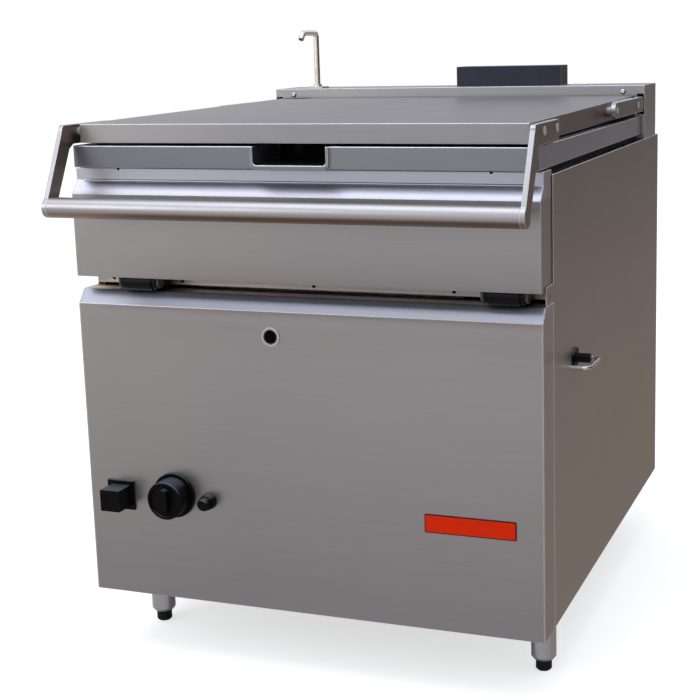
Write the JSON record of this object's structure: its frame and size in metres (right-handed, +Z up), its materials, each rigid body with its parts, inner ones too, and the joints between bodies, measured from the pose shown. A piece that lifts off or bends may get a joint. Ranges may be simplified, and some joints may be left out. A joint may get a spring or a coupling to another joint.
{
  "type": "tilting bratt pan",
  "caption": "Gas tilting bratt pan: a deep rectangular pan on front pivots with a pouring lip, hinged lid with bar handle, filling tap, and a crank-driven lift linkage.",
  "frame": {"origin": "on the floor under the middle of the whole object's box", "axes": "+X to the right seen from the front, +Y from the front to the back, +Z up"},
  "size_m": [0.8374, 1.0505, 1.061],
  "materials": {
    "brushed_steel": "brushed stainless steel sheet",
    "lid_steel": "brushed stainless steel sheet",
    "handle_steel": "satin stainless tube and bar",
    "bright_steel": "plain turned or bent steel",
    "frame_steel": "primed mild steel",
    "pan_steel": "satin stainless plate",
    "base_steel": "scaled mild steel plate",
    "slate_enamel": "dark slate enamel",
    "bearing_black": "black painted steel",
    "drive_black": "dark machine paint",
    "control_black": "black thermoset plastic",
    "rubber_black": "black rubber",
    "foot_black": "black moulded foot",
    "gas_brass": "plain brass and copper",
    "tap_chrome": "worn chrome"
  },
  "bodies": {
    "cabinet": {"base_frame": "frame_steel", "floor_panel": "frame_steel", "front_panel": "brushed_steel", "front_cheeks": "brushed_steel", "side_panel_left": "brushed_steel", "side_panel_right": "brushed_steel", "back_panel": "brushed_steel", "rear_housing": "brushed_steel", "flue_hood": "slate_enamel", "flue_duct": "pan_steel", "combustion_box": "pan_steel", "burner_tubes": "pan_steel", "gas_manifold": "gas_brass", "gas_pipe": "gas_brass", "gas_valve": "gas_brass", "sight_port": "bright_steel", "switch_plate": "control_black", "dial_plate": "control_black", "igniter_socket": "control_black", "bearing_block_left": "bearing_black", "bearing_block_right": "bearing_black", "bearing_bolts": "bright_steel", "pan_rests": "rubber_black", "gearbox": "drive_black", "gearbox_bracket": "frame_steel", "stub_bush": "control_black", "crank_guard": "bright_steel", "leg_sleeves": "handle_steel", "tap_base": "tap_chrome", "water_pipe": "gas_brass"},
    "pan": {"vessel": "pan_steel", "base_plate": "base_steel", "pan_rim": "brushed_steel", "pouring_lip": "pan_steel", "apron": "brushed_steel", "pan_jacket": "brushed_steel", "pan_cradle": "bearing_black", "pivot_pins": "bright_steel", "hinge_lugs": "bright_steel", "lid_buffers": "rubber_black"},
    "lid": {"lid_shell": "lid_steel", "lid_liner": "lid_steel", "handle_tube": "handle_steel", "handle_arms": "handle_steel", "lid_bolts": "bright_steel", "hinge_arms": "handle_steel", "hinge_bars": "handle_steel"},
    "lever": {"lift_lever": "bright_steel"},
    "link": {"lift_link": "bright_steel", "link_pins": "bright_steel"},
    "crank": {"crank_stub": "bright_steel"},
    "knob": {"control_knob": "control_black", "valve_stem": "gas_brass"},
    "switch": {"switch_button": "control_black"},
    "igniter": {"igniter_button": "control_black"},
    "tap": {"tap_spout": "tap_chrome"},
    "foot_front_left_body": {"foot_front_left": "foot_black"},
    "foot_front_right_body": {"foot_front_right": "foot_black"},
    "foot_rear_left_body": {"foot_rear_left": "foot_black"},
    "foot_rear_right_body": {"foot_rear_right": "foot_black"}
  },
  "joints": [
    {"name": "pan_tilt", "type": "hinge", "parent": "cabinet", "child": "pan", "pos_m": [-0.01875, -0.41875, 0.654], "axis": [1, 0, 0], "range_deg": [0, 85]},
    {"name": "lid_open", "type": "hinge", "parent": "pan", "child": "lid", "pos_m": [-0.01875, 0.34125, 0.902], "axis": [-1, 0, 0], "range_deg": [0, 75]},
    {"name": "lever_turn", "type": "hinge", "parent": "cabinet", "child": "lever", "pos_m": [0.25125, -0.23975, 0.523], "axis": [1, 0, 0], "range_deg": [0, 85]},
    {"name": "link_swing", "type": "hinge", "parent": "lever", "child": "link", "pos_m": [0.25125, -0.08996, 0.515], "axis": [1, 0, 0], "range_deg": [-85, 0]},
    {"name": "crank_turn", "type": "hinge", "parent": "cabinet", "child": "crank", "pos_m": [0.38125, -0.23975, 0.523], "axis": [1, 0, 0], "range_deg": [0, 2040]},
    {"name": "knob_turn", "type": "hinge", "parent": "cabinet", "child": "knob", "pos_m": [-0.25675, -0.45475, 0.295], "axis": [0, -1, 0], "range_deg": [0, 180]},
    {"name": "switch_push", "type": "slide", "parent": "cabinet", "child": "switch", "axis": [0, 1, 0], "range_m": [0, 0.003], "stiffness_N_per_m": 400},
    {"name": "igniter_push", "type": "slide", "parent": "cabinet", "child": "igniter", "axis": [0, 1, 0], "range_m": [0, 0.004], "stiffness_N_per_m": 400},
    {"name": "tap_swivel", "type": "hinge", "parent": "cabinet", "child": "tap", "pos_m": [-0.34375, 0.41425, 0.95], "axis": [0, 0, 1], "range_deg": [-90, 90]},
    {"name": "foot_front_left_adjust", "type": "slide", "parent": "cabinet", "child": "foot_front_left_body", "axis": [0, 0, -1], "range_m": [0, 0.025]},
    {"name": "foot_front_right_adjust", "type": "slide", "parent": "cabinet", "child": "foot_front_right_body", "axis": [0, 0, -1], "range_m": [0, 0.025]},
    {"name": "foot_rear_left_adjust", "type": "slide", "parent": "cabinet", "child": "foot_rear_left_body", "axis": [0, 0, -1], "range_m": [0, 0.025]},
    {"name": "foot_rear_right_adjust", "type": "slide", "parent": "cabinet", "child": "foot_rear_right_body", "axis": [0, 0, -1], "range_m": [0, 0.025]}
  ],
  "couplings": [
    {"joint": "lever_turn", "follows": "pan_tilt", "ratio": 1},
    {"joint": "link_swing", "follows": "pan_tilt", "ratio": -1},
    {"joint": "crank_turn", "follows": "pan_tilt", "ratio": 24}
  ]
}
